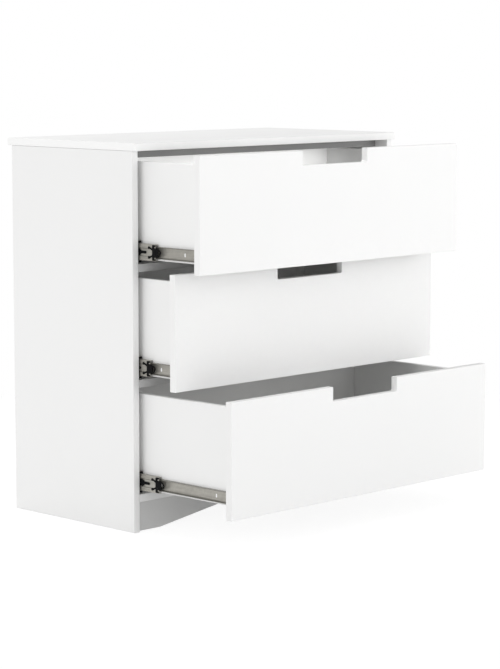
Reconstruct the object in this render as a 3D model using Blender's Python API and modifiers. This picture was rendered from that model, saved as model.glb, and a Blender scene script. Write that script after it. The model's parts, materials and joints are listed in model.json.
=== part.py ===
"""Chest of three drawers on ball-bearing slides, made piece by piece. Metres, +Z up, drawers open towards -Y.

The origin lies on the floor, in the middle of the room that the chest takes with its drawers as they stand.
In a slide's section, u runs from the carcass's side panel to the drawer.
v runs up from the slide's centre line.
"""
import math

import bmesh
import bpy

# Carcass boards
WIDTH = 0.800                  # over the outer faces of the side panels
SIDE_HEIGHT = 0.790
SIDE_DEPTH = 0.380
SIDE_THICKNESS = 0.016
TOP_THICKNESS = 0.016
TOP_OVERHANG_FRONT = 0.010
TOP_OVERHANG_BACK = 0.013
BACK_THICKNESS = 0.003
BACK_INSET = 0.003             # of the back panel's ends from the carcass's outer faces
RAIL_THICKNESS = 0.016
RAIL_DEPTH = 0.080
TOP_RAIL_SETBACK = 0.035       # behind the carcass's front plane
BOTTOM_THICKNESS = 0.016
EDGE_CHAMFER = 0.0005

# Plinth with its shallow arch
PLINTH_HEIGHT = 0.0632
PLINTH_THICKNESS = 0.016
PLINTH_SETBACK = 0.0105
PLINTH_FOOT = 0.067            # length that stands on the floor at each end
ARCH_RISE = 0.028
ARCH_SLOPE = 0.196             # length of the slanted stretch at each end

# Drawer fronts and their notches
FRONT_GAP = 0.003              # between one front and the next, and under the top
FRONT_THICKNESS = 0.016
FRONT_INSET = 0.0025           # of a front's ends from the carcass's outer faces
FRONT_LOWEST = 0.0655          # underside of the bottom drawer's front
CLOSED_GAP = 0.002             # between a shut front and the carcass
NOTCH_WIDTH = 0.200
NOTCH_DEPTH = 0.030
NOTCH_RADIUS = 0.004

# Drawer boxes
BOX_HEADROOM = 0.014           # between the box sides and the rail above
BOX_SIDE_THICKNESS = 0.012
BOX_LENGTH = 0.350
BOX_DROP = 0.0165              # underside of the box sides below the slide's centre line
BOX_BACK_THICKNESS = 0.012
BASE_THICKNESS = 0.003
BASE_RISE = 0.010              # groove's lower edge above the underside of the box sides
GROOVE_DEPTH = 0.006

# Slides: heights and places
TOP_LOSS = 0.008               # the top drawer's opening is this much lower than the others
SLIDE_RISE = 0.026             # centre line above the board below it
SLIDE_SPACE = 0.0127           # between side panel and box side
SLIDE_SETBACK = 0.003          # cabinet rail behind the carcass's front plane
CABINET_RAIL_LENGTH = 0.350
MIDDLE_RAIL_LENGTH = 0.330
DRAWER_RAIL_LENGTH = 0.344
DRAWER_RAIL_SETBACK = 0.003    # behind the drawer front
CABINET_RAIL_HEIGHT = 0.045
MIDDLE_RAIL_HEIGHT = 0.0342
DRAWER_RAIL_HEIGHT = 0.0244
SHEET = 0.0012                 # steel of the rails
CABINET_FLANGE = 0.0095        # depth of the cabinet rail's channel
CABINET_LIP = 0.0014           # its flanges turn in by this much
MIDDLE_FLANGE = 0.0075
CREASE_DEPTH = 0.0005          # the middle rail's web is pressed in along its centre
CREASE_HALF = 0.0080
CREASE_SLOPE = 0.0010
SLOT_WIDTH = 0.0045            # upright screw slots in the drawer rail's web
SLOT_HEIGHT = 0.0085
SLOT_SETBACK = 0.0515          # first slot behind the drawer front
SLOT_PITCH = 0.160             # from the first slot to the second

# Ball cages
CAGE_SHEET = 0.0008
OUTER_CAGE_LENGTH = 0.190
INNER_CAGE_LENGTH = 0.110
CAGE_END_GAP = 0.004           # to the end of the rail when its stage is drawn right out
OUTER_BALL_DEPTH = 0.0060      # u of the ball centres
INNER_BALL_DEPTH = 0.0082
OUTER_BALLS = 6                # in each of a cage's two rows
INNER_BALLS = 4
BALL_SEGMENTS = 6
BALL_RINGS = 4

# Clip on the front end of the middle rail, measured back from its tip
CLIP_NOSE = 0.0155             # length in front of the rail's steel
CLIP_RING_HALF = 0.0090
CLIP_HOLE_START = 0.0024
CLIP_HOLE_LENGTH = 0.0062
CLIP_HOLE_HALF = 0.0058
CLIP_BAR_START = 0.0145
CLIP_BAR_WIDTH = 0.0105
CLIP_BAR_HALF = 0.0161
CLIP_LOBE_RADIUS = 0.0042
CLIP_ARM_ROOT = 0.0062         # v of an arm's centre where it leaves the bar
CLIP_ARM_RISE = 0.0032         # the arm's knob stands this much further out
CLIP_ARM_HALF = 0.0018
CLIP_ARM_LENGTH = 0.0098       # from the bar to the centre of the arm's knob
CLIP_KNOB_RADIUS = 0.0027
CLIP_SETBACK = 0.001           # tip behind the carcass's front plane when shut
ARC_STEPS = 6

# Travel, and how far each drawer stands open
OUTER_TRAVEL = 0.145           # middle rail in cabinet rail
INNER_TRAVEL = 0.205           # drawer rail in middle rail
BOTTOM_OPEN = 0.2640
MIDDLE_OPEN = 0.1045
TOP_OPEN = 0.1755
BOTTOM_RAILS_OPEN = 0.0715     # of which the middle rails have moved this much
MIDDLE_RAILS_OPEN = 0.0470
TOP_RAILS_OPEN = 0.0650

# Clearances
SEAT_GAP = 0.0003              # between pieces that seat on each other
RUNNING_GAP = 0.0003           # round the balls
WEB_GAP = 0.0004               # between the webs of rails and cages
CUT_MARGIN = 0.010             # a cutter stands this far proud of what it cuts

# Derived places
OPEN = {"bottom": BOTTOM_OPEN, "middle": MIDDLE_OPEN, "top": TOP_OPEN}
RAILS_OPEN = {"bottom": BOTTOM_RAILS_OPEN, "middle": MIDDLE_RAILS_OPEN, "top": TOP_RAILS_OPEN}
SLOT_SETBACKS = (SLOT_SETBACK, SLOT_SETBACK + SLOT_PITCH)
REACH_FRONT = max(OPEN.values()) + CLOSED_GAP + FRONT_THICKNESS
REACH_BACK = SIDE_DEPTH + max(TOP_OVERHANG_BACK, SEAT_GAP + BACK_THICKNESS)
FRONT_PLANE = (REACH_FRONT - REACH_BACK) / 2
INNER_HALF = WIDTH / 2 - SIDE_THICKNESS
BETWEEN_SIDES = 2 * (INNER_HALF - SEAT_GAP)
BOX_HALF = INNER_HALF - SLIDE_SPACE
BOTTOM_TOP = PLINTH_HEIGHT + SEAT_GAP + BOTTOM_THICKNESS
SIDES = {"left": -1, "right": 1}
LEVELS = {"bottom": 0, "middle": 1, "top": 2}
DRAWER_PITCH = (SIDE_HEIGHT - BOTTOM_TOP + TOP_LOSS) / len(LEVELS)  # from one drawer's slides to the next
FRONT_HEIGHT = (SIDE_HEIGHT - FRONT_LOWEST) / len(LEVELS) - FRONT_GAP
BOX_SIDE_HEIGHT = DRAWER_PITCH - RAIL_THICKNESS - (SLIDE_RISE - BOX_DROP) - BOX_HEADROOM

CABINET_WEB = SEAT_GAP
CABINET_INSIDE = CABINET_WEB + SHEET
OUTER_CAGE_WEB = CABINET_INSIDE + WEB_GAP
MIDDLE_WEB = OUTER_CAGE_WEB + CAGE_SHEET + WEB_GAP
INNER_CAGE_WEB = MIDDLE_WEB + SHEET + CREASE_DEPTH + WEB_GAP
DRAWER_RAIL_TIP = INNER_CAGE_WEB + CAGE_SHEET + WEB_GAP
DRAWER_RAIL_WEB = SLIDE_SPACE - SEAT_GAP
CLIP_BACK = MIDDLE_WEB - SEAT_GAP
CLIP_FRONT = DRAWER_RAIL_TIP - WEB_GAP
OUTER_RACE = (CABINET_RAIL_HEIGHT / 2 - SHEET, MIDDLE_RAIL_HEIGHT / 2)
INNER_RACE = (MIDDLE_RAIL_HEIGHT / 2 - SHEET, DRAWER_RAIL_HEIGHT / 2)
MIDDLE_RAIL_START = CLIP_SETBACK + CLIP_NOSE + SEAT_GAP

for old in list(bpy.data.objects):
    bpy.data.objects.remove(old, do_unlink=True)


def collection(name):
    """A new collection in the scene."""
    made = bpy.data.collections.new(name)
    bpy.context.scene.collection.children.link(made)
    return made


PIECES = collection("chest_of_drawers")
CUTTERS = collection("cutters")


def material(name, colour, roughness, metallic=0.0):
    """A Principled material of one colour."""
    made = bpy.data.materials.new(name)
    made.use_nodes = True
    shader = made.node_tree.nodes["Principled BSDF"]
    shader.inputs["Base Color"].default_value = (*colour, 1.0)
    shader.inputs["Roughness"].default_value = roughness
    shader.inputs["Metallic"].default_value = metallic
    made.diffuse_color = (*colour, 1.0)
    return made


WHITE_BOARD = material("white_board", (0.88, 0.88, 0.87), 0.45)
WHITE_HARDBOARD = material("white_hardboard", (0.84, 0.84, 0.83), 0.60)
ZINC_STEEL = material("zinc_steel", (0.58, 0.57, 0.53), 0.35, 0.9)
CAGE_STEEL = material("cage_steel", (0.50, 0.50, 0.48), 0.40, 0.9)
BLACK_PLASTIC = material("black_plastic", (0.012, 0.012, 0.012), 0.40)


def stage(name, location, parent=None):
    """An empty on a sliding joint's axis, which carries what slides."""
    empty = bpy.data.objects.new(name, None)
    PIECES.objects.link(empty)
    empty.parent = parent
    empty.location = location
    return empty


def piece(name, mesh, finish, location=(0, 0, 0), parent=None):
    """A named piece of the chest, placed by its location under its parent."""
    mesh.materials.append(finish)
    made = bpy.data.objects.new(name, mesh)
    PIECES.objects.link(made)
    made.parent = parent
    made.location = location
    return made


def cutter(name, mesh, location=(0, 0, 0), parent=None):
    """A hidden shape that cuts, or is joined to, a piece."""
    made = bpy.data.objects.new(name, mesh)
    CUTTERS.objects.link(made)
    made.parent = parent
    made.location = location
    made.hide_render = True
    made.display_type = "WIRE"
    return made


def combine(target, tool, operation="DIFFERENCE"):
    """Cuts the tool from the target, or joins it."""
    step = target.modifiers.new(tool.name, "BOOLEAN")
    step.operation = operation
    step.object = tool


def box_mesh(name, low, high):
    """A box between two corners."""
    mesh = bpy.data.meshes.new(name)
    made = bmesh.new()
    bmesh.ops.create_cube(made, size=1.0)
    for corner in made.verts:
        for axis in range(3):
            corner.co[axis] = low[axis] + (corner.co[axis] + 0.5) * (high[axis] - low[axis])
    made.to_mesh(mesh)
    made.free()
    return mesh


def board(name, low, high, finish=WHITE_BOARD, parent=None):
    """A board between two corners, its origin at its centre, with chamfered edges."""
    centre = [(a + b) / 2 for a, b in zip(low, high)]
    half = [(b - a) / 2 for a, b in zip(low, high)]
    made = piece(name, box_mesh(name, [-h for h in half], half), finish, centre, parent)
    bevel = made.modifiers.new("edges", "BEVEL")
    bevel.width = EDGE_CHAMFER
    bevel.segments = 1
    bevel.limit_method = "ANGLE"
    return made


def outline_mesh(name, outlines, thickness, turn):
    """A flat outline, its holes after it, extruded about its own plane and turned into place."""
    curve = bpy.data.curves.new(name, "CURVE")
    curve.dimensions = "2D"
    curve.fill_mode = "BOTH"
    curve.extrude = thickness / 2
    for points in outlines:
        spline = curve.splines.new("POLY")
        spline.points.add(len(points) - 1)
        for point, (x, y) in zip(spline.points, points):
            point.co = (x, y, 0, 1)
        spline.use_cyclic_u = True
    shape = bpy.data.objects.new(name, curve)
    PIECES.objects.link(shape)
    shape.rotation_euler = turn
    bpy.context.view_layer.update()
    mesh = bpy.data.meshes.new_from_object(shape.evaluated_get(bpy.context.evaluated_depsgraph_get()))
    mesh.name = name
    made = bmesh.new()
    made.from_mesh(mesh)
    bmesh.ops.remove_doubles(made, verts=made.verts, dist=1e-6)
    bmesh.ops.transform(made, matrix=shape.matrix_world, verts=made.verts)
    bmesh.ops.recalc_face_normals(made, faces=made.faces)
    made.to_mesh(mesh)
    made.free()
    bpy.data.objects.remove(shape, do_unlink=True)
    bpy.data.curves.remove(curve)
    return mesh


SECTION = (math.pi / 2, 0, 0)              # outline across X and Z, extruded along Y
ELEVATION = (math.pi / 2, 0, math.pi / 2)  # outline along Y and Z, extruded along X


def arc(centre, radius, start, end, steps=ARC_STEPS):
    """Points on an arc, angles in degrees, with a separate radius for each axis."""
    turns = [math.radians(start + (end - start) * i / steps) for i in range(steps + 1)]
    return [(centre[0] + radius[0] * math.cos(a), centre[1] + radius[1] * math.sin(a)) for a in turns]


def carcass():
    """The fixed boards."""
    front, rear = FRONT_PLANE, FRONT_PLANE + SIDE_DEPTH
    half = BETWEEN_SIDES / 2
    for side, sign in SIDES.items():
        xs = sorted((sign * INNER_HALF, sign * WIDTH / 2))
        board(f"side_panel_{side}", (xs[0], front, 0), (xs[1], rear, SIDE_HEIGHT))
    top_under = SIDE_HEIGHT + SEAT_GAP
    board("top_panel", (-WIDTH / 2, front - TOP_OVERHANG_FRONT, top_under),
          (WIDTH / 2, rear + TOP_OVERHANG_BACK, top_under + TOP_THICKNESS))
    back_half = WIDTH / 2 - BACK_INSET
    board("back_panel", (-back_half, rear + SEAT_GAP, PLINTH_HEIGHT),
          (back_half, rear + SEAT_GAP + BACK_THICKNESS, SIDE_HEIGHT), WHITE_HARDBOARD)
    board("top_rail", (-half, front + TOP_RAIL_SETBACK, SIDE_HEIGHT - RAIL_THICKNESS),
          (half, front + TOP_RAIL_SETBACK + RAIL_DEPTH, SIDE_HEIGHT))
    for name, level in (("lower_rail", 1), ("upper_rail", 2)):
        rail_top = BOTTOM_TOP + level * DRAWER_PITCH
        board(name, (-half, front, rail_top - RAIL_THICKNESS), (half, front + RAIL_DEPTH, rail_top))
    board("bottom_panel", (-half, front, BOTTOM_TOP - BOTTOM_THICKNESS), (half, rear, BOTTOM_TOP))
    plinth(half)


def plinth(half):
    """The board under the bottom panel, its lower edge raised in a shallow arch with slanted ends."""
    knee, crown = half - PLINTH_FOOT, half - PLINTH_FOOT - ARCH_SLOPE
    right = [(crown, ARCH_RISE), (knee, 0), (half, 0), (half, PLINTH_HEIGHT)]
    left = [(-x, z) for x, z in reversed(right)]
    mesh = outline_mesh("plinth", [right + left], PLINTH_THICKNESS, SECTION)
    piece("plinth", mesh, WHITE_BOARD, (0, FRONT_PLANE + PLINTH_SETBACK + PLINTH_THICKNESS / 2, 0))


def channel(web, tip, height, sheet, lip=0.0, crease=0.0):
    """A channel section in u and v: its web's outer face at web, its flanges reaching to tip."""
    way = math.copysign(1.0, tip - web)
    inside, half = web + way * sheet, height / 2
    upper = [(tip, half)]
    if lip:
        turn = tip - way * sheet
        upper += [(tip, half - sheet - lip), (turn, half - sheet - lip), (turn, half - sheet)]
    else:
        upper += [(tip, half - sheet)]
    upper += [(inside, half - sheet)]
    outer = [(web, half)]
    if crease:
        steps = ((CREASE_HALF + CREASE_SLOPE, 0.0), (CREASE_HALF, way * crease))
        upper += [(inside + deep, v) for v, deep in steps]
        outer += [(web + deep, v) for v, deep in steps]
    lower = [(u, -v) for u, v in reversed(upper)]
    outer_lower = [(u, -v) for u, v in outer]
    return upper + lower + outer_lower + outer[::-1]


def across(points, sign):
    """A slide section's u and v as X and Z, on the left or right side."""
    return [(sign * (INNER_HALF - u), v) for u, v in points]


def rail(name, points, sign, start, length, parent, finish=ZINC_STEEL):
    """A length of a section, from its front end back."""
    mesh = outline_mesh(name, [across(points, sign)], length, SECTION)
    return piece(name, mesh, finish, (0, start + length / 2, 0), parent)


def cage(name, sign, web, race, ball_u, balls, start, length, parent):
    """A ball cage: a channel with two rows of balls, which roll between the two rails of a race."""
    ball_v = (race[0] + race[1]) / 2
    ball_radius = (race[0] - race[1]) / 2 - RUNNING_GAP
    section = channel(web, ball_u + ball_radius, 2 * ball_v + CAGE_SHEET, CAGE_SHEET)
    made = rail(name, section, sign, start, length, parent, CAGE_STEEL)
    mesh = bpy.data.meshes.new(f"{name}_balls")
    rows = bmesh.new()
    spacing = length / balls
    for index in range(balls):
        for v in (-ball_v, ball_v):
            ball = bmesh.ops.create_uvsphere(rows, u_segments=BALL_SEGMENTS, v_segments=BALL_RINGS,
                                             radius=ball_radius)
            place = (sign * (INNER_HALF - ball_u), (index + 0.5) * spacing - length / 2, v)
            bmesh.ops.translate(rows, verts=ball["verts"], vec=place)
    rows.to_mesh(mesh)
    rows.free()
    tool = cutter(f"{name}_balls", mesh, made.location, parent)
    combine(made, tool, "UNION")
    return made


def clip_outlines():
    """The clip's outline from the side, and the hole in its ring, along Y from its tip and up."""
    bar_end = CLIP_BAR_START + CLIP_BAR_WIDTH
    lobe = (CLIP_BAR_START + CLIP_LOBE_RADIUS, CLIP_BAR_HALF - CLIP_LOBE_RADIUS)
    knob = (bar_end + CLIP_ARM_LENGTH, CLIP_ARM_ROOT + CLIP_ARM_RISE)
    ring = (CLIP_BAR_START, CLIP_RING_HALF)
    upper = arc((CLIP_BAR_START, 0), ring, 180, 90)
    upper += arc(lobe, (CLIP_LOBE_RADIUS, CLIP_LOBE_RADIUS), 180, 0)
    upper += [(bar_end, CLIP_ARM_ROOT + CLIP_ARM_HALF)]
    upper += arc(knob, (CLIP_KNOB_RADIUS, CLIP_KNOB_RADIUS), 135, -135)
    upper += [(bar_end, CLIP_ARM_ROOT - CLIP_ARM_HALF)]
    outline = upper + [(y, -v) for y, v in reversed(upper[1:])]
    hole_end = CLIP_HOLE_START + CLIP_HOLE_LENGTH
    return [outline, arc((hole_end, 0), (CLIP_HOLE_LENGTH, CLIP_HOLE_HALF), 90, 270)]


def clip(name, sign, tip, parent):
    """The plastic clip: thick in front of the middle rail's steel, a thin plate on the outside of its web."""
    thickness = CLIP_FRONT - OUTER_CAGE_WEB
    mesh = outline_mesh(name, clip_outlines(), thickness, ELEVATION)
    x = sign * (INNER_HALF - OUTER_CAGE_WEB - thickness / 2)
    made = piece(name, mesh, BLACK_PLASTIC, (x, tip, 0), parent)
    xs = sorted(sign * (INNER_HALF - u) for u in (CLIP_BACK, CLIP_FRONT + CUT_MARGIN))
    tall, long = CLIP_BAR_HALF + CUT_MARGIN, 4 * CUT_MARGIN
    mesh = box_mesh(f"{name}_steel", (xs[0], CLIP_NOSE, -tall), (xs[1], CLIP_NOSE + long, tall))
    combine(made, cutter(f"{name}_steel", mesh, (0, tip, 0), parent))


def slides(drawer, carried):
    """A drawer's pair of slides, each piece under the stage that carries it."""
    height = BOTTOM_TOP + LEVELS[drawer] * DRAWER_PITCH + SLIDE_RISE
    still = stage(f"{drawer}_slide_line", (0, FRONT_PLANE, height))
    middle = carried["middle"]
    for side, sign in SIDES.items():
        name = f"{drawer}_{side}"
        section = channel(CABINET_WEB, CABINET_WEB + CABINET_FLANGE, CABINET_RAIL_HEIGHT, SHEET, CABINET_LIP)
        rail(f"{name}_cabinet_rail", section, sign, SLIDE_SETBACK, CABINET_RAIL_LENGTH, still)
        section = channel(MIDDLE_WEB, MIDDLE_WEB + MIDDLE_FLANGE, MIDDLE_RAIL_HEIGHT, SHEET,
                          0.0, CREASE_DEPTH)
        rail(f"{name}_middle_rail", section, sign, MIDDLE_RAIL_START, MIDDLE_RAIL_LENGTH, middle)
        clip(f"{name}_clip", sign, CLIP_SETBACK, middle)
        outer_start = MIDDLE_RAIL_START + OUTER_TRAVEL / 2 + CAGE_END_GAP
        cage(f"{name}_outer_cage", sign, OUTER_CAGE_WEB, OUTER_RACE, OUTER_BALL_DEPTH, OUTER_BALLS,
             outer_start, OUTER_CAGE_LENGTH, carried["outer_cage"])
        inner_start = MIDDLE_RAIL_START + INNER_TRAVEL / 2 + CAGE_END_GAP
        cage(f"{name}_inner_cage", sign, INNER_CAGE_WEB, INNER_RACE, INNER_BALL_DEPTH, INNER_BALLS,
             inner_start, INNER_CAGE_LENGTH, carried["inner_cage"])
        section = channel(DRAWER_RAIL_WEB, DRAWER_RAIL_TIP, DRAWER_RAIL_HEIGHT, SHEET)
        start = DRAWER_RAIL_SETBACK - CLOSED_GAP
        drawer_rail = rail(f"{name}_drawer_rail", section, sign, start, DRAWER_RAIL_LENGTH, carried["drawer"])
        for setback in SLOT_SETBACKS:
            slot(drawer_rail, sign, setback, carried["drawer"])


def slot(drawer_rail, sign, setback, parent):
    """An upright screw slot in the drawer rail's web."""
    radius = SLOT_WIDTH / 2
    straight = SLOT_HEIGHT / 2 - radius
    points = arc((0, straight), (radius, radius), 0, 180) + arc((0, -straight), (radius, radius), 180, 360)
    mesh = outline_mesh(f"{drawer_rail.name}_slot", [points], 2 * SHEET + SEAT_GAP, ELEVATION)
    place = (sign * (INNER_HALF - DRAWER_RAIL_WEB + SHEET / 2), setback - CLOSED_GAP, 0)
    combine(drawer_rail, cutter(f"{drawer_rail.name}_slot", mesh, place, parent))


def drawer_box(drawer, parent):
    """A drawer's front, sides, back and base. Its stage lies in the carcass's front plane when shut."""
    slide_height = BOTTOM_TOP + LEVELS[drawer] * DRAWER_PITCH + SLIDE_RISE
    back_face = -CLOSED_GAP
    low = FRONT_LOWEST + LEVELS[drawer] * (FRONT_HEIGHT + FRONT_GAP) - slide_height
    half = WIDTH / 2 - FRONT_INSET
    front = board(f"{drawer}_drawer_front", (-half, back_face - FRONT_THICKNESS, low),
                  (half, back_face, low + FRONT_HEIGHT), parent=parent)
    combine(front, notch(drawer, low + FRONT_HEIGHT, back_face - FRONT_THICKNESS / 2, parent))
    start, end = back_face + SEAT_GAP, back_face + SEAT_GAP + BOX_LENGTH
    underside, upper = -BOX_DROP, BOX_SIDE_HEIGHT - BOX_DROP
    inside = BOX_HALF - BOX_SIDE_THICKNESS
    groove_low = underside + BASE_RISE
    groove_high = groove_low + BASE_THICKNESS + 2 * SEAT_GAP
    groove_half = inside + GROOVE_DEPTH
    groove_start = back_face - GROOVE_DEPTH
    mesh = box_mesh(f"{drawer}_groove", (-groove_half, groove_start, groove_low),
                    (groove_half, end + CUT_MARGIN, groove_high))
    groove = cutter(f"{drawer}_groove", mesh, (0, 0, 0), parent)
    combine(front, groove)
    for side, sign in SIDES.items():
        xs = sorted((sign * inside, sign * BOX_HALF))
        made = board(f"{drawer}_drawer_side_{side}", (xs[0], start, underside), (xs[1], end, upper),
                     parent=parent)
        combine(made, groove)
    board(f"{drawer}_drawer_back", (-inside + SEAT_GAP, end - BOX_BACK_THICKNESS, groove_high),
          (inside - SEAT_GAP, end, upper), parent=parent)
    base_half = groove_half - SEAT_GAP
    board(f"{drawer}_drawer_base", (-base_half, groove_start + SEAT_GAP, groove_low + SEAT_GAP),
          (base_half, end, groove_high - SEAT_GAP), WHITE_HARDBOARD, parent)


def notch(drawer, top_edge, y, parent):
    """The finger notch in a front's upper edge, with rounded lower corners."""
    half, floor = NOTCH_WIDTH / 2, top_edge - NOTCH_DEPTH
    radius = (NOTCH_RADIUS, NOTCH_RADIUS)
    corner = (half - NOTCH_RADIUS, floor + NOTCH_RADIUS)
    points = arc((-corner[0], corner[1]), radius, 180, 270) + arc(corner, radius, 270, 360)
    points += [(half, top_edge + CUT_MARGIN), (-half, top_edge + CUT_MARGIN)]
    mesh = outline_mesh(f"{drawer}_notch", [points], FRONT_THICKNESS + 2 * CUT_MARGIN, SECTION)
    return cutter(f"{drawer}_notch", mesh, (0, y, 0), parent)


def drawers():
    """Each drawer on its stages: the middle rails run on the carcass, the drawer on the middle rails."""
    for drawer, level in LEVELS.items():
        height = BOTTOM_TOP + level * DRAWER_PITCH + SLIDE_RISE
        outer, whole = RAILS_OPEN[drawer], OPEN[drawer]
        inner = whole - outer
        carried = {"middle": stage(f"{drawer}_middle_stage", (0, FRONT_PLANE - outer, height))}
        carried["outer_cage"] = stage(f"{drawer}_outer_cage_stage", (0, FRONT_PLANE - outer / 2, height))
        carried["inner_cage"] = stage(f"{drawer}_inner_cage_stage", (0, -inner / 2, 0), carried["middle"])
        carried["drawer"] = stage(f"{drawer}_drawer_stage", (0, -inner, 0), carried["middle"])
        slides(drawer, carried)
        drawer_box(drawer, carried["drawer"])


carcass()
drawers()
bpy.context.view_layer.update()
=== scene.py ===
"""Looks of a white chest of three drawers on ball-bearing slides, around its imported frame. Metres, +Z up."""
import json
import math

import bmesh
import bpy
from mathutils import Euler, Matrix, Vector


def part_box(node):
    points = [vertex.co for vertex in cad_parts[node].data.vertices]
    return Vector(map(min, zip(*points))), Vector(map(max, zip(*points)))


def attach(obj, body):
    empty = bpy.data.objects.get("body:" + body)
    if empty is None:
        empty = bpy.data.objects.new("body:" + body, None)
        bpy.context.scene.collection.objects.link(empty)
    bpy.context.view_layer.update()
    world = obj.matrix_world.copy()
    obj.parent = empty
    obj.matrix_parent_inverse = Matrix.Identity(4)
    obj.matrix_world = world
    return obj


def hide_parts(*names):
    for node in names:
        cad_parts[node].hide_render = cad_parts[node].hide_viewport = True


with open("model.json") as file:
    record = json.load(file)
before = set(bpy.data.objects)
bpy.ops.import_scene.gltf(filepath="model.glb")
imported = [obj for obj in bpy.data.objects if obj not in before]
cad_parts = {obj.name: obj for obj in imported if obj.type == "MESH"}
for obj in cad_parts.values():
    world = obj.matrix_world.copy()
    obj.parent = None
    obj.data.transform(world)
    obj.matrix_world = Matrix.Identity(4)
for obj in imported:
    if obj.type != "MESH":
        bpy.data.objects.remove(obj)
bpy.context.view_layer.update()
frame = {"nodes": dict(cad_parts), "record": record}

DRAWERS = ("bottom", "middle", "top")
SIDES = {"left": -1, "right": 1}

# Camera at the photograph's angle
CAMERA_PLACE = (-3.620, -3.558, 1.0165)
CAMERA_AZIMUTH = -45.48
CAMERA_ELEVATION = 7.21
CAMERA_LENS = 125.8
CAMERA_REACH = 100.0

# Boards: rounded edges, finger notches and the plinth's arch
EDGE_RADIUS = 0.0009
NOTCH_WIDTH = 0.200
NOTCH_DEPTH = 0.030
NOTCH_RADIUS = 0.004
PLINTH_FOOT = 0.067
ARCH_RISE = 0.028
ARCH_SLOPE = 0.196

# Black plastic on the slides, in the slide's own section: u from the side panel, v up from its centre
BUMPER_LENGTH = 0.0022
BUMPER_WEB = 0.0014
BUMPER_DEPTH = 0.0092
BUMPER_LOBE = 0.0042
BUMPER_HEIGHT = 0.0445
LEVER_START = 0.0430           # behind the clip's tip
LEVER_LENGTH = 0.0450
LEVER_BAR = 0.0145             # straight stretch from its tip
LEVER_TAPER = 0.0060           # it widens to its root over this length
LEVER_TIP_HALF = 0.0028
LEVER_ROOT_HALF = 0.0072
LEVER_THICKNESS = 0.0006
PLASTIC_EDGE = 0.00025

# Clip on the middle rail, along Y from its tip and up from its centre
CLIP_RING = (0.0148, 0.0090)   # reach of the ring in front of the bar, and half its height
CLIP_HOLE = (0.0024, 0.0062, 0.0058)  # where the ring's hole starts, its length and half its height
CLIP_BAR = (0.0150, 0.0252, 0.0161)   # the bar's start and end, and half its height
CLIP_HOOK = (0.0198, 0.0098, 0.0126)  # the gap behind the bar's hooks: how deep, from and to which height
CLIP_HOOK_RADIUS = 0.0017
CLIP_ARM = (0.0064, 0.0020)    # height of an arm's root, and half its thickness
CLIP_KNOB = (0.0350, 0.0100, 0.0029)  # centre and radius of the knob at the arm's end
CLIP_KNOB_ARC = (130, -140)    # the knob's round, from the arm's upper edge to its lower, in degrees
CLIP_PLATE = 0.0010            # thickness of the bar and the arms
CLIP_RING_PLATE = 0.0018       # thickness of the ring

# White board seen through the screw slots of the drawer rail
SLOT_PLACES = (0.0485, 0.2085)  # behind the rail's front end
SLOT_HALVES = (0.0020, 0.0040)
RAIL_SHEET = 0.0012
HAIR = 0.0002                  # clearance between trim and what it lies on

# Nails that hold the back panel
NAIL_RADIUS = 0.0030
NAIL_HEIGHT = 0.0007
NAIL_INSET = 0.008
NAIL_COLUMNS = 7
NAIL_ROWS = 6
NAIL_FACETS = (16, 8)          # round a nail's head, and over it

# How finely the shapes are drawn, and how their faces are told apart
ARC_STEPS = 6
RING_STEPS = 16
KNOB_STEPS = 12
EDGE_RINGS = 2                 # resolution of a rounded edge
WELD = 1e-6                    # points nearer to each other than this are one
SHARP_ANGLE = math.radians(32)
FLAT_FACE = 0.999              # a normal this far along the axis is a flat face's
EDGE_FACE = 0.5                # a normal less far along the axis than this is a banded edge's

# Depth of the bump on each kind of surface
FRONT_BUMP = 0.00003
FACE_BUMP = 0.00004
EDGE_BUMP = 0.00005
COARSE_BUMP = 0.00006          # the top rail's shaded edge and hardboard
FINE_BUMP = 0.00002            # steel and plastic
NAIL_BUMP = 0.00001
BUMP_STRENGTH = 0.35

# Floor, white surround and lamps
FLOOR_SIZE = 40.0
FLOOR_TONE = 0.86
FLOOR_LIFT = 0.45              # light that only the camera and reflections see, to take the floor to white
FLOOR_PLAIN = (0.75, 1.7)      # the shadow fades out between these distances from the chest's middle
FLOOR_WHITE = 0.8              # how far the floor is plain white close to the chest, so its shadow is faint
WORLD_LIGHT = 0.75             # what the boards get of the white surround
WORLD_GLOSS = 0.50             # what reflections see of it
BOUNCES = 12                   # light finds its way into the drawers
AIM = (0.0, 0.0, 0.42)
# Four soft boxes, a narrow lamp for the middle front alone and a strip inside each of the upper two drawers
LIGHTS = {
    "front_right_box": {"place": (3.4, -3.7, 1.6), "size": 2.4, "power": 52.0},
    "front_box": {"place": (0.3, -4.9, 0.7), "size": 2.4, "power": 28.0},
    "left_box": {"place": (-4.6, -0.3, 2.6), "size": 2.4, "power": 47.0},
    "back_box": {"place": (0.0, 3.0, 4.0), "size": 2.4, "power": 88.0},
    "middle_front_grid": {"place": (0.3, -3.2, 0.43), "size": 0.74, "power": 0.025, "height": 0.16,
                          "aim": (0.0, -0.12, 0.43), "spread": math.radians(6)},
    "top_drawer_strip": {"place": (0.02, 0.020, 0.700), "size": 0.66, "power": 0.10, "height": 0.02,
                         "aim": (0.02, 0.105, 0.745), "spread": math.radians(80)},
    "middle_drawer_strip": {"place": (0.0, -0.02, 0.42), "size": 0.50, "power": 0.020, "height": 0.02,
                            "aim": (0.0, 0.105, 0.50)}}

COLOUR_SOCKET = "NodeSocketColor"
NUMBER_SOCKET = "NodeSocketFloat"


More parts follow.
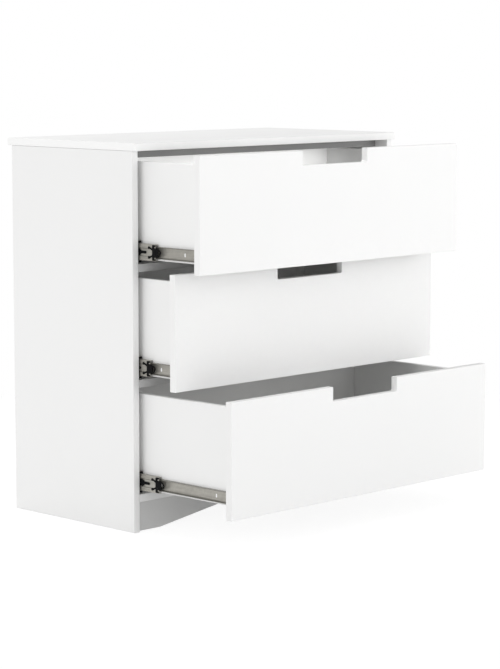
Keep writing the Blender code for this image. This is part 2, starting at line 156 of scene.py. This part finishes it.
class Shading:
    """Short words for adding nodes to a material's or a group's tree."""

    def __init__(self, tree):
        self.tree = tree

    def add(self, kind, **settings):
        """A node with its plain settings."""
        made = self.tree.nodes.new(kind)
        for name, value in settings.items():
            setattr(made, name, value)
        return made

    def link(self, source, target):
        """A link from an output to an input."""
        self.tree.links.new(source, target)

    def noise(self, where, scale, detail=3.0, roughness=0.55, stretch=None):
        """Noise of a scale in 1/m, drawn out along an axis if asked."""
        if stretch:
            mapping = self.add("ShaderNodeMapping")
            mapping.inputs["Scale"].default_value = stretch
            self.link(where, mapping.inputs["Vector"])
            where = mapping.outputs["Vector"]
        made = self.add("ShaderNodeTexNoise")
        made.inputs["Scale"].default_value = scale
        made.inputs["Detail"].default_value = detail
        made.inputs["Roughness"].default_value = roughness
        self.link(where, made.inputs["Vector"])
        return made.outputs["Fac"]

    def spread(self, value, low, high, from_low=0.3, from_high=0.7):
        """A value mapped from one range to another, clamped."""
        made = self.add("ShaderNodeMapRange")
        made.inputs["From Min"].default_value = from_low
        made.inputs["From Max"].default_value = from_high
        made.inputs["To Min"].default_value = low
        made.inputs["To Max"].default_value = high
        self.link(value, made.inputs["Value"])
        return made.outputs["Result"]

    def maths(self, operation, a, b=0.0):
        """Two values, or a value and a number, put together."""
        made = self.add("ShaderNodeMath", operation=operation)
        for index, item in enumerate((a, b)):
            if isinstance(item, (int, float)):
                made.inputs[index].default_value = item
            else:
                self.link(item, made.inputs[index])
        return made.outputs["Value"]

    def distance(self, a, b):
        """How far apart two values are."""
        return self.maths("ABSOLUTE", self.maths("SUBTRACT", a, b))

    def within(self):
        """The place within the object's own box, from 0 to 1 along X, Y and Z."""
        parts = self.add("ShaderNodeSeparateXYZ")
        self.link(self.add("ShaderNodeTexCoord").outputs["Generated"], parts.inputs["Vector"])
        return parts.outputs

    def blend(self, amount, a, b):
        """One colour towards another."""
        made = self.add("ShaderNodeMix", data_type="RGBA")
        self.link(amount, made.inputs["Factor"])
        for name, item in (("A", a), ("B", b)):
            target = [i for i in made.inputs if i.name == name and i.type == "RGBA"][0]
            self.link(item, target)
        return [o for o in made.outputs if o.type == "RGBA"][0]


def new_group(name, inputs):
    """A shader group that reads object coordinates and puts out a colour, a roughness and a height."""
    group = bpy.data.node_groups.new(name, "ShaderNodeTree")
    for title, value in inputs.items():
        kind = COLOUR_SOCKET if isinstance(value, tuple) else NUMBER_SOCKET
        made = group.interface.new_socket(name=title, in_out="INPUT", socket_type=kind)
        made.default_value = value
    for title, kind in (("Colour", COLOUR_SOCKET), ("Roughness", NUMBER_SOCKET), ("Height", NUMBER_SOCKET)):
        group.interface.new_socket(name=title, in_out="OUTPUT", socket_type=kind)
    work = Shading(group)
    entry = work.add("NodeGroupInput")
    leave = work.add("NodeGroupOutput")
    where = work.add("ShaderNodeTexCoord").outputs["Object"]
    return work, entry.outputs, leave.inputs, where


def melamine_group():
    """White melamine: faint clouds, fine pearl, handling marks, and painted shade on one face if asked."""
    work, given, out, where = new_group("melamine_face", {
        "Tone": (0.85, 0.85, 0.847, 1),
        "Shade": (0.83, 0.83, 0.824, 1),
        "Pearl": 1.0,
        "Inner Shade": (0.74, 0.74, 0.736, 1),
        "Shaded Side": 3.0})   # outside the box, so that no face gets the painted shade
    clouds = work.noise(where, scale=2.2, detail=2.0)
    specks = work.noise(where, scale=420.0, detail=2.0)
    cloudy = work.blend(work.spread(clouds, 0.0, 0.55), given["Tone"], given["Shade"])
    fine = work.spread(specks, 0.0, 0.20, from_low=0.42, from_high=0.72)
    faced = work.blend(fine, cloudy, given["Shade"])
    # painted shade: the chosen face of a board is greyer, for the shade on the inward faces of drawers and
    # carcass
    away = work.distance(work.within()["X"], given["Shaded Side"])
    inner_shaded = work.maths("LESS_THAN", away, 0.5)
    work.link(work.blend(inner_shaded, faced, given["Inner Shade"]), out["Colour"])
    marks = work.noise(where, scale=14.0, detail=5.0, roughness=0.7, stretch=(1.0, 1.0, 0.18))
    work.link(work.spread(marks, 0.36, 0.47), out["Roughness"])
    pearl = work.noise(where, scale=900.0, detail=2.0)
    work.link(work.maths("MULTIPLY", pearl, given["Pearl"]), out["Height"])
    return work.tree


def fibre_group():
    """Lacquered hardboard: a short felted fibre shows through the paint."""
    work, given, out, where = new_group("hardboard_face", {
        "Tone": (0.72, 0.72, 0.714, 1),
        "Fibre": (0.67, 0.667, 0.656, 1)})
    strands = work.noise(where, scale=160.0, detail=6.0, roughness=0.7, stretch=(1.0, 0.35, 1.0))
    felted = work.spread(strands, 0.0, 0.6, from_low=0.4, from_high=0.75)
    work.link(work.blend(felted, given["Tone"], given["Fibre"]), out["Colour"])
    work.link(work.spread(strands, 0.52, 0.68), out["Roughness"])
    work.link(strands, out["Height"])
    return work.tree


def rolled_steel_group():
    """Zinc-plated strip: streaks along the rail, a faint spangle, a warm cast and lines of painted shade at
    its bends.
    """
    work, given, out, where = new_group("rolled_steel", {
        "Tone": (0.45, 0.434, 0.392, 1),
        "Streak": (0.35, 0.339, 0.308, 1),
        "Painted Bend Shade": (0.20, 0.195, 0.175, 1),
        "Bend Place": 2.0,    # from mid-height, outside the box, so that no painted shade line is drawn
        "Bend Width": 0.03})
    streaks = work.noise(where, scale=900.0, detail=3.0, roughness=0.6, stretch=(1.0, 0.012, 1.0))
    spangle = work.noise(where, scale=130.0, detail=2.0)
    mixed = work.maths("ADD", work.maths("MULTIPLY", streaks, 0.6), work.maths("MULTIPLY", spangle, 0.4))
    streaky = work.spread(mixed, 0.0, 1.0, from_low=0.38, from_high=0.66)
    strip = work.blend(streaky, given["Tone"], given["Streak"])
    # painted shade: dark lines along the bends, where the folded sheet turns away from the light
    from_middle = work.distance(work.within()["Z"], 0.5)
    from_bend = work.distance(from_middle, given["Bend Place"])
    widths = work.maths("DIVIDE", from_bend, given["Bend Width"])
    painted_bend_amount = work.spread(widths, 0.8, 0.0, from_low=0.4, from_high=1.0)
    work.link(work.blend(painted_bend_amount, strip, given["Painted Bend Shade"]), out["Colour"])
    work.link(work.spread(streaks, 0.34, 0.52), out["Roughness"])
    work.link(streaks, out["Height"])
    return work.tree


def moulded_group():
    """Moulded plastic with a spark-eroded grain and slight flow marks."""
    work, given, out, where = new_group("moulded_plastic", {
        "Tone": (0.004, 0.004, 0.0045, 1),
        "Bloom": (0.010, 0.010, 0.0105, 1)})
    grain = work.noise(where, scale=1600.0)
    flow = work.noise(where, scale=60.0)
    work.link(work.blend(work.spread(flow, 0.0, 0.7), given["Tone"], given["Bloom"]), out["Colour"])
    work.link(work.spread(grain, 0.36, 0.52), out["Roughness"])
    work.link(grain, out["Height"])
    return work.tree


GROUPS = {"melamine": melamine_group(), "hardboard": fibre_group(), "steel": rolled_steel_group(),
          "plastic": moulded_group()}


def finish_of(name, group, values, bump, metallic=0.0, gloss=0.5):
    """A Principled material fed by a surface group, with its own colours and bump depth."""
    made = bpy.data.materials.new(name)
    made.use_nodes = True
    work = Shading(made.node_tree)
    shader = made.node_tree.nodes["Principled BSDF"]
    surface = work.add("ShaderNodeGroup", node_tree=GROUPS[group])
    for title, value in values.items():
        surface.inputs[title].default_value = value
    relief = work.add("ShaderNodeBump")
    relief.inputs["Distance"].default_value = bump
    relief.inputs["Strength"].default_value = BUMP_STRENGTH
    work.link(surface.outputs["Height"], relief.inputs["Height"])
    work.link(relief.outputs["Normal"], shader.inputs["Normal"])
    work.link(surface.outputs["Colour"], shader.inputs["Base Color"])
    work.link(surface.outputs["Roughness"], shader.inputs["Roughness"])
    shader.inputs["Metallic"].default_value = metallic
    shader.inputs["Specular IOR Level"].default_value = gloss
    return made


FACE_WHITE = finish_of("face_white", "melamine", {}, FACE_BUMP)
FRONT_WHITE = finish_of("front_white", "melamine", {
    "Tone": (0.88, 0.88, 0.877, 1), "Shade": (0.865, 0.865, 0.859, 1)}, FRONT_BUMP)
EDGE_WHITE = finish_of("edge_band_white", "melamine", {
    "Tone": (0.91, 0.91, 0.906, 1), "Shade": (0.89, 0.89, 0.883, 1), "Pearl": 1.6}, EDGE_BUMP)
# painted shade: an edge band darker than the others, for the shade on the fronts' narrow edges and the
# carcass's bottom edge
FRONT_EDGE_SHADED = finish_of("front_edge_painted_shade", "melamine", {
    "Tone": (0.85, 0.85, 0.846, 1), "Shade": (0.83, 0.83, 0.823, 1), "Pearl": 1.6}, EDGE_BUMP)
# painted shade: the rails' recessed front edges, darker for the shade between and under the drawers
RAIL_EDGE_SHADED = finish_of("rail_edge_painted_shade", "melamine", {
    "Tone": (0.60, 0.60, 0.596, 1), "Shade": (0.575, 0.575, 0.569, 1), "Pearl": 1.6}, EDGE_BUMP)
# painted shadow: the top rail's front edge, dark grey for the shadow under the top panel's overhang
TOP_RAIL_EDGE_SHADED = finish_of("top_rail_edge_painted_shadow", "melamine", {
    "Tone": (0.28, 0.28, 0.277, 1), "Shade": (0.26, 0.26, 0.256, 1), "Pearl": 2.0}, COARSE_BUMP)
# painted shade: the plinth's face, darker for the shade under the bottom drawer
PLINTH_SHADED = finish_of("plinth_painted_shade", "melamine", {
    "Tone": (0.66, 0.66, 0.656, 1), "Shade": (0.64, 0.64, 0.634, 1)}, FACE_BUMP)
BOX_TONES = {"Tone": (0.86, 0.86, 0.856, 1), "Shade": (0.84, 0.84, 0.833, 1)}
BOX_WHITE = finish_of("box_white", "melamine", BOX_TONES, FACE_BUMP)
# painted shade: the bottom drawer's back, darker for the shade inside that drawer
BOTTOM_BACK_SHADED = finish_of("bottom_box_back_painted_shade", "melamine", {
    "Tone": (0.70, 0.70, 0.696, 1), "Shade": (0.68, 0.68, 0.674, 1)}, FACE_BUMP)
SHADED_FACE = {"left": 1.0, "right": 0.0}   # the face of an upright board that looks inwards, along X, where the shade is painted
# drawer sides: painted shade on their inward faces
BOX_SIDES = {
    side: finish_of(f"box_{side}_white", "melamine", {**BOX_TONES, "Shaded Side": face}, FACE_BUMP)
    for side, face in SHADED_FACE.items()}
# side panels: a darker painted shade on their inward faces, inside the carcass
PANEL_SIDES = {
    side: finish_of(f"panel_{side}_white", "melamine", {
        "Inner Shade": (0.62, 0.62, 0.616, 1), "Shaded Side": face}, FACE_BUMP)
    for side, face in SHADED_FACE.items()}
HARDBOARD = finish_of("hardboard_white", "hardboard", {}, COARSE_BUMP)
ZINC = finish_of("zinc_plate", "steel", {}, FINE_BUMP, metallic=0.75)
# painted shade lines at the middle rail's creases and along the drawer rail's folds
CREASE_SHADED_ZINC = finish_of("crease_shaded_zinc", "steel", {
    "Bend Place": 0.234, "Bend Width": 0.035}, FINE_BUMP, metallic=0.75)
FOLD_SHADED_ZINC = finish_of("fold_shaded_zinc", "steel", {
    "Bend Place": 0.47, "Bend Width": 0.055}, FINE_BUMP, metallic=0.75)
CAGE_ZINC = finish_of("cage_zinc", "steel", {
    "Tone": (0.52, 0.51, 0.49, 1), "Streak": (0.38, 0.375, 0.36, 1)}, FINE_BUMP, metallic=0.85)
BLACK = finish_of("black_moulded", "plastic", {}, FINE_BUMP, gloss=0.05)
NAIL_STEEL = finish_of("nail_steel", "steel", {
    "Tone": (0.68, 0.68, 0.66, 1), "Streak": (0.55, 0.55, 0.54, 1)}, NAIL_BUMP, metallic=0.9)
SLIDE_FINISHES = {"cabinet_rail": ZINC, "middle_rail": CREASE_SHADED_ZINC, "drawer_rail": FOLD_SHADED_ZINC,
                  "outer_cage": CAGE_ZINC, "inner_cage": CAGE_ZINC}


def arc(centre, radius, start, end, steps=ARC_STEPS):
    """Points on an arc, angles in degrees."""
    turns = [math.radians(start + (end - start) * i / steps) for i in range(steps + 1)]
    return [(centre[0] + radius * math.cos(a), centre[1] + radius * math.sin(a)) for a in turns]


# How an outline's plane is turned so that it is extruded along X, Y or Z
TURNS = {0: (math.pi / 2, 0, math.pi / 2), 1: (math.pi / 2, 0, 0), 2: (0, 0, 0)}


def solid_from_outline(name, outlines, thickness, axis, centre, rounding):
    """A flat outline, with any holes in it, made solid along an axis, its edges rounded within its size."""
    curve = bpy.data.curves.new(name, "CURVE")
    curve.dimensions = "2D"
    curve.fill_mode = "BOTH"
    curve.extrude = thickness / 2 - rounding
    curve.bevel_depth = rounding
    curve.bevel_resolution = EDGE_RINGS
    curve.offset = -rounding
    for points in outlines:
        spline = curve.splines.new("POLY")
        spline.points.add(len(points) - 1)
        for point, (x, y) in zip(spline.points, points):
            point.co = (x, y, 0, 1)
        spline.use_cyclic_u = True
    shape = bpy.data.objects.new(name, curve)
    bpy.context.scene.collection.objects.link(shape)
    bpy.context.view_layer.update()
    mesh = bpy.data.meshes.new_from_object(shape.evaluated_get(bpy.context.evaluated_depsgraph_get()))
    bpy.data.objects.remove(shape, do_unlink=True)
    bpy.data.curves.remove(curve)
    made = bmesh.new()
    made.from_mesh(mesh)
    bmesh.ops.remove_doubles(made, verts=made.verts, dist=WELD)
    bmesh.ops.rotate(made, verts=made.verts, matrix=Euler(TURNS[axis]).to_matrix())
    bmesh.ops.translate(made, verts=made.verts, vec=centre)
    bmesh.ops.recalc_face_normals(made, faces=made.faces)
    made.to_mesh(mesh)
    made.free()
    mesh.name = name
    mesh.materials.clear()
    mesh.shade_smooth()
    mesh.set_sharp_from_angle(angle=SHARP_ANGLE)
    for polygon in mesh.polygons:
        polygon.use_smooth = abs(polygon.normal[axis]) < FLAT_FACE
    solid = bpy.data.objects.new(name, mesh)
    bpy.context.scene.collection.objects.link(solid)
    return solid


def body_with(node):
    """The name of the body that carries a node."""
    bodies = frame["record"]["behaviour"]["bodies"]
    return [name for name, nodes in bodies.items() if node in nodes][0]


def edged_board(node, face, edge, outline=None):
    """A board in a node's place: its two faces in one finish, its banded edges in another."""
    low, high = (Vector(corner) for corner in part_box(node))
    size, centre = high - low, (low + high) / 2
    axis = min(range(3), key=lambda i: size[i])
    if outline is None:
        wide, tall = (size[i] / 2 for i in range(3) if i != axis)
        outline = [(-wide, -tall), (wide, -tall), (wide, tall), (-wide, tall)]
    made = solid_from_outline(f"{node}_board", [outline], size[axis], axis, centre, EDGE_RADIUS)
    made.data.materials.append(face)
    made.data.materials.append(edge)
    for polygon in made.data.polygons:
        if abs(polygon.normal[axis]) < EDGE_FACE:
            polygon.material_index = 1
    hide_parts(node)
    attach(made, body_with(node))


def notched_outline(node):
    """A drawer front's outline about its centre, with the finger notch in its upper edge."""
    low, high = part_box(node)
    half, tall = (high[0] - low[0]) / 2, (high[2] - low[2]) / 2
    side = NOTCH_WIDTH / 2
    corner = (side - NOTCH_RADIUS, tall - NOTCH_DEPTH + NOTCH_RADIUS)
    right = arc(corner, NOTCH_RADIUS, 0, -90)
    left = [(-x, z) for x, z in reversed(right)]
    before = [(-half, -tall), (half, -tall), (half, tall), (side, tall)]
    after = [(-side, tall), (-half, tall)]
    return before + right + left + after


def plinth_outline():
    """The plinth's outline about its centre, with the shallow arch in its lower edge."""
    low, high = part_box("plinth")
    half, tall = (high[0] - low[0]) / 2, (high[2] - low[2]) / 2
    knee, crown = half - PLINTH_FOOT, half - PLINTH_FOOT - ARCH_SLOPE
    right = [(crown, ARCH_RISE - tall), (knee, -tall), (half, -tall), (half, tall)]
    return right + [(-x, z) for x, z in reversed(right)]


def wear(node, finish):
    """A node of the frame in a new finish."""
    slots = frame["nodes"][node].material_slots
    for each in slots:
        each.material = finish
    if not slots:
        frame["nodes"][node].data.materials.append(finish)


def boards():
    """Every board of the carcass and the drawers' fronts, and the finish of the boxes and the back."""
    edged_board("top_panel", FACE_WHITE, EDGE_WHITE)
    for side in SIDES:
        edged_board(f"side_panel_{side}", PANEL_SIDES[side], EDGE_WHITE)
    # the rails' front edges in painted shade
    for node in ("upper_rail", "lower_rail"):
        edged_board(node, FACE_WHITE, RAIL_EDGE_SHADED)
    # the bottom panel's edge in the darker edge band of painted shade
    edged_board("bottom_panel", FACE_WHITE, FRONT_EDGE_SHADED)
    # the top rail's edge in painted shadow
    edged_board("top_rail", FACE_WHITE, TOP_RAIL_EDGE_SHADED)
    # the plinth's face in painted shade
    edged_board("plinth", PLINTH_SHADED, EDGE_WHITE, plinth_outline())
    for drawer in DRAWERS:
        node = f"{drawer}_drawer_front"
        edged_board(node, FRONT_WHITE, FRONT_EDGE_SHADED, notched_outline(node))
        for side in SIDES:
            wear(f"{drawer}_drawer_side_{side}", BOX_SIDES[side])
        # the bottom drawer's back in painted shade
        wear(f"{drawer}_drawer_back", BOTTOM_BACK_SHADED if drawer == "bottom" else BOX_WHITE)
        wear(f"{drawer}_drawer_base", HARDBOARD)
    wear("back_panel", HARDBOARD)


def plastic_piece(name, outlines, thickness, axis, centre, body):
    """A small black moulding that rides on a body."""
    made = solid_from_outline(name, outlines, thickness, axis, centre, PLASTIC_EDGE)
    made.data.materials.append(BLACK)
    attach(made, body)
    return made


def bumper(drawer, side, sign):
    """The bumper round the mouth of the cabinet rail: a thin bar with a lobe at each end."""
    low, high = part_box(f"{drawer}_{side}_cabinet_rail")
    face = low[0] if sign < 0 else high[0]
    top = BUMPER_HEIGHT / 2
    under = top - BUMPER_LOBE
    upper = [(0, top), (BUMPER_DEPTH, top), (BUMPER_DEPTH, under), (BUMPER_WEB, under)]
    section = upper + [(u, -v) for u, v in reversed(upper)]
    points = [(-sign * u, v) for u, v in section]
    centre = (face, low[1] - HAIR - BUMPER_LENGTH / 2, (low[2] + high[2]) / 2)
    plastic_piece(f"{drawer}_{side}_bumper", [points], BUMPER_LENGTH, 1, centre, "carcass")


def lever(drawer, side, sign):
    """The release lever: a tapered tongue on the outside of the middle rail's web."""
    low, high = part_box(f"{drawer}_{side}_middle_rail")
    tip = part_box(f"{drawer}_{side}_clip")[0][1]
    web = low[0] if sign < 0 else high[0]
    x = web + sign * (HAIR + LEVER_THICKNESS / 2)
    upper = arc((LEVER_TIP_HALF, 0), LEVER_TIP_HALF, 180, 90)
    upper += [(LEVER_BAR, LEVER_TIP_HALF), (LEVER_BAR + LEVER_TAPER, LEVER_ROOT_HALF)]
    upper += [(LEVER_LENGTH, LEVER_ROOT_HALF)]
    points = upper + [(y, -v) for y, v in reversed(upper[1:])]
    centre = (x, tip + LEVER_START, (low[2] + high[2]) / 2)
    plastic_piece(f"{drawer}_{side}_lever", [points], LEVER_THICKNESS, 0, centre, f"{drawer}_middle_rails")


def clip(drawer, side, sign):
    """The clip in its node's place: a ring before the steel, and a hooked bar with two arms on the web."""
    node = f"{drawer}_{side}_clip"
    low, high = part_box(node)
    tip, height = low[1], (low[2] + high[2]) / 2
    outside = low[0] if sign < 0 else high[0]
    body = f"{drawer}_middle_rails"
    reach, tall = CLIP_RING
    start, length, half = CLIP_HOLE
    bow = arc((0, 0), 1, 90, 270, RING_STEPS)
    rim = [(reach * (1 + x), tall * y) for x, y in bow]
    hole = [(start + length * (1 + x), half * y) for x, y in bow]
    centre = (outside - sign * CLIP_RING_PLATE / 2, tip, height)
    made = plastic_piece(f"{node}_ring", [rim, hole], CLIP_RING_PLATE, 0, centre, body)
    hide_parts(node)
    front, back, top = CLIP_BAR
    deep, under, over = CLIP_HOOK
    root, arm = CLIP_ARM
    knob_y, knob_v, knob_radius = CLIP_KNOB
    round_hook = arc((front + CLIP_HOOK_RADIUS, over + CLIP_HOOK_RADIUS), CLIP_HOOK_RADIUS, 270, 90)
    round_back = arc((back - CLIP_HOOK_RADIUS, top - CLIP_HOOK_RADIUS), CLIP_HOOK_RADIUS, 90, 0)
    knob = arc((knob_y, knob_v), knob_radius, *CLIP_KNOB_ARC, KNOB_STEPS)
    upper = [(front, under), (deep, under), (deep, over)] + round_hook + round_back
    upper += [(back, root + arm)] + knob + [(back, root - arm)]
    points = upper + [(y, -v) for y, v in reversed(upper)]
    centre = (outside - sign * CLIP_PLATE / 2, tip, height)
    plastic_piece(f"{node}_bar", [points], CLIP_PLATE, 0, centre, body)


def slot_pads(drawer, side, sign):
    """The drawer's white board that shows through the screw slots of its rail."""
    node = f"{drawer}_{side}_drawer_rail"
    low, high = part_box(node)
    web = high[0] if sign < 0 else low[0]
    half_y, half_v = SLOT_HALVES
    upper = arc((0, half_v - half_y), half_y, 0, 180)
    points = upper + [(-y, -v) for y, v in upper]
    for number, place in enumerate(SLOT_PLACES):
        centre = (web + sign * RAIL_SHEET / 2, low[1] + place, (low[2] + high[2]) / 2)
        made = solid_from_outline(f"{node}_slot_{number}", [points], RAIL_SHEET - HAIR, 0, centre, HAIR / 2)
        made.data.materials.append(FRONT_WHITE)
        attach(made, f"{drawer}_drawer")


def slides():
    """The finish of the rails and cages, and the clips, pads and black trim on them."""
    for drawer in DRAWERS:
        for side, sign in SIDES.items():
            for part, finish in SLIDE_FINISHES.items():
                wear(f"{drawer}_{side}_{part}", finish)
            clip(drawer, side, sign)
            slot_pads(drawer, side, sign)
            bumper(drawer, side, sign)
            lever(drawer, side, sign)


def nail_places(low, high, count):
    """Evenly spaced places along one edge of the back panel."""
    return [low + NAIL_INSET + i * (high - low - 2 * NAIL_INSET) / (count - 1) for i in range(count)]


def nails():
    """The nails round the edge of the back panel, with domed heads."""
    low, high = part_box("back_panel")
    xs = nail_places(low[0], high[0], NAIL_COLUMNS)
    zs = nail_places(low[2], high[2], NAIL_ROWS)
    places = [(x, z) for x in xs for z in (zs[0], zs[-1])]
    places += [(x, z) for x in (xs[0], xs[-1]) for z in zs[1:-1]]
    round_it, over_it = NAIL_FACETS
    heads = bmesh.new()
    for x, z in places:
        ball = bmesh.ops.create_uvsphere(heads, u_segments=round_it, v_segments=over_it, radius=NAIL_RADIUS)
        bmesh.ops.scale(heads, verts=ball["verts"], vec=(1, NAIL_HEIGHT / NAIL_RADIUS, 1))
        bmesh.ops.translate(heads, verts=ball["verts"], vec=(x, high[1], z))
    mesh = bpy.data.meshes.new("back_nails")
    heads.to_mesh(mesh)
    heads.free()
    mesh.materials.append(NAIL_STEEL)
    mesh.shade_smooth()
    made = bpy.data.objects.new("back_nails", mesh)
    bpy.context.scene.collection.objects.link(made)
    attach(made, "carcass")


def floor():
    """A plain white floor that keeps the chest's shadow."""
    mesh = bpy.data.meshes.new("floor")
    made = bmesh.new()
    bmesh.ops.create_grid(made, x_segments=1, y_segments=1, size=FLOOR_SIZE / 2)
    made.to_mesh(mesh)
    made.free()
    paint = bpy.data.materials.new("floor_white")
    paint.use_nodes = True
    tree = paint.node_tree
    tree.nodes.clear()
    work = Shading(tree)
    matt = work.add("ShaderNodeBsdfDiffuse")
    matt.inputs["Color"].default_value = (FLOOR_TONE, FLOOR_TONE, FLOOR_TONE, 1)
    path = work.add("ShaderNodeLightPath")
    glow = work.add("ShaderNodeEmission")
    seen = work.maths("MAXIMUM", path.outputs["Is Camera Ray"], path.outputs["Is Glossy Ray"])
    work.link(work.maths("MULTIPLY", seen, FLOOR_LIFT), glow.inputs["Strength"])
    both = work.add("ShaderNodeAddShader")
    work.link(matt.outputs["BSDF"], both.inputs[0])
    work.link(glow.outputs["Emission"], both.inputs[1])
    white = work.add("ShaderNodeEmission")
    away = work.add("ShaderNodeVectorMath", operation="LENGTH")
    work.link(work.add("ShaderNodeTexCoord").outputs["Object"], away.inputs[0])
    plain = work.spread(away.outputs["Value"], FLOOR_WHITE, 1.0, *FLOOR_PLAIN)
    mixed = work.add("ShaderNodeMixShader")
    work.link(work.maths("MULTIPLY", plain, seen), mixed.inputs["Fac"])
    work.link(both.outputs["Shader"], mixed.inputs[1])
    work.link(white.outputs["Emission"], mixed.inputs[2])
    work.link(mixed.outputs["Shader"], work.add("ShaderNodeOutputMaterial").inputs["Surface"])
    mesh.materials.append(paint)
    plane = bpy.data.objects.new("floor", mesh)
    bpy.context.scene.collection.objects.link(plane)


def soft_light(name, place, size, power, height=None, aim=AIM, spread=math.pi):
    """An area lamp turned to its aim, square unless its height is given."""
    lamp = bpy.data.lights.new(name, "AREA")
    lamp.shape = "RECTANGLE"
    lamp.size = size
    lamp.size_y = height or size
    lamp.energy = power
    lamp.spread = spread
    made = bpy.data.objects.new(name, lamp)
    made.location = place
    made.rotation_euler = (Vector(aim) - Vector(place)).to_track_quat("-Z", "Y").to_euler()
    bpy.context.scene.collection.objects.link(made)


def studio():
    """A white surround, dimmer for light and reflections than for the camera, and the lamps."""
    scene = bpy.context.scene
    world = bpy.data.worlds.new("studio")
    scene.world = world
    world.use_nodes = True
    work = Shading(world.node_tree)
    back = world.node_tree.nodes["Background"]
    back.inputs["Color"].default_value = (1, 1, 1, 1)
    path = work.add("ShaderNodeLightPath")
    shown = work.spread(path.outputs["Is Glossy Ray"], WORLD_LIGHT, WORLD_GLOSS, from_low=0.0, from_high=1.0)
    seen = work.maths("MAXIMUM", path.outputs["Is Camera Ray"], path.outputs["Is Transmission Ray"])
    work.link(work.maths("MAXIMUM", seen, shown), back.inputs["Strength"])
    for name, light in LIGHTS.items():
        soft_light(name, **light)
    scene.cycles.max_bounces = BOUNCES
    scene.cycles.diffuse_bounces = BOUNCES
    scene.view_settings.view_transform = "Standard"


def camera():
    """The camera, looking down on the front left corner."""
    lens = bpy.data.cameras.new("camera")
    lens.lens = CAMERA_LENS
    lens.clip_end = CAMERA_REACH
    made = bpy.data.objects.new("camera", lens)
    made.location = CAMERA_PLACE
    made.rotation_euler = (math.radians(90 - CAMERA_ELEVATION), 0, math.radians(CAMERA_AZIMUTH))
    bpy.context.scene.collection.objects.link(made)
    bpy.context.scene.camera = made


boards()
slides()
nails()
floor()
studio()
camera()
